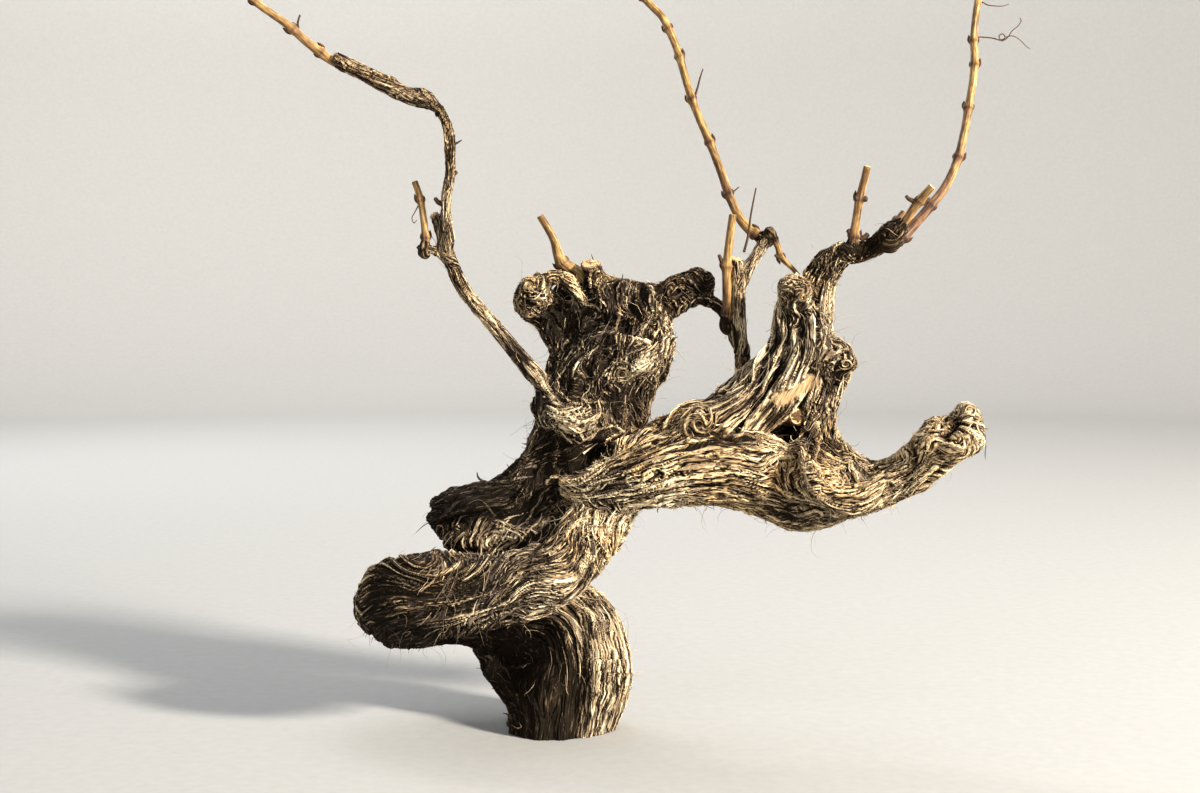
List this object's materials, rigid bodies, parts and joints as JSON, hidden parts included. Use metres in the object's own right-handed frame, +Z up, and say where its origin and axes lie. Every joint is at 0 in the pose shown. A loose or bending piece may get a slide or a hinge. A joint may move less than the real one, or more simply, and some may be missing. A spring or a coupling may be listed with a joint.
{
  "type": "grapevine",
  "caption": "Old bush-trained grapevine in winter rest: corkscrew trunk, gnarled head, long front arm, pruned spurs and bare canes, cut flat at ground level.",
  "frame": {"origin": "middle of the flat cut under the trunk, at ground level", "axes": "+Z up, +X to the right of the pictured side, +Y away from the viewer"},
  "size_m": [1.1277, 0.4343, 1.256],
  "materials": {
    "pale_bark": "weathered stringy bark, sun-bleached straw ridges over nearly black fissures, fully rough",
    "grey_bark": "weathered stringy bark, grey-brown with paler ridge tops, fully rough",
    "cane_bark": "smooth ripe cane bark, golden tan with reddish-brown sides and darker nodes, satin"
  },
  "bodies": {
    "root": {"trunk_foot": "pale_bark", "trunk_low_bend": "pale_bark", "trunk_left_turn": "pale_bark", "trunk_upper_sweep": "pale_bark", "trunk_heel": "pale_bark", "back_elbow": "grey_bark", "knuckle_underside": "grey_bark", "left_trunk": "grey_bark", "torso_collar": "grey_bark", "head_left_knob": "grey_bark", "head_left_strand": "grey_bark", "head_cut_stump": "grey_bark", "head_spur_cane": "cane_bark", "head_right_arm": "grey_bark", "head_hollow_back": "grey_bark", "middle_stem": "grey_bark", "middle_fork": "grey_bark", "head_neck": "grey_bark", "middle_spur_cane": "cane_bark", "middle_cane": "cane_bark", "middle_side_cane": "cane_bark", "front_arm": "pale_bark", "right_bend": "pale_bark", "right_rising_arm": "pale_bark", "front_arm_strand": "pale_bark", "right_column": "pale_bark", "right_hollow_back": "pale_bark", "right_burl": "pale_bark", "right_lower_arm": "pale_bark", "right_knob": "pale_bark", "right_upper_arm": "pale_bark", "right_upright_spur": "cane_bark", "right_short_spur": "cane_bark", "right_second_spur": "cane_bark", "right_cane": "cane_bark", "left_arm_lower": "grey_bark", "left_arm_rise": "grey_bark", "left_arm_reach": "grey_bark", "left_cane": "cane_bark", "left_spur": "grey_bark", "left_spur_cane": "cane_bark"}
  },
  "joints": []
}
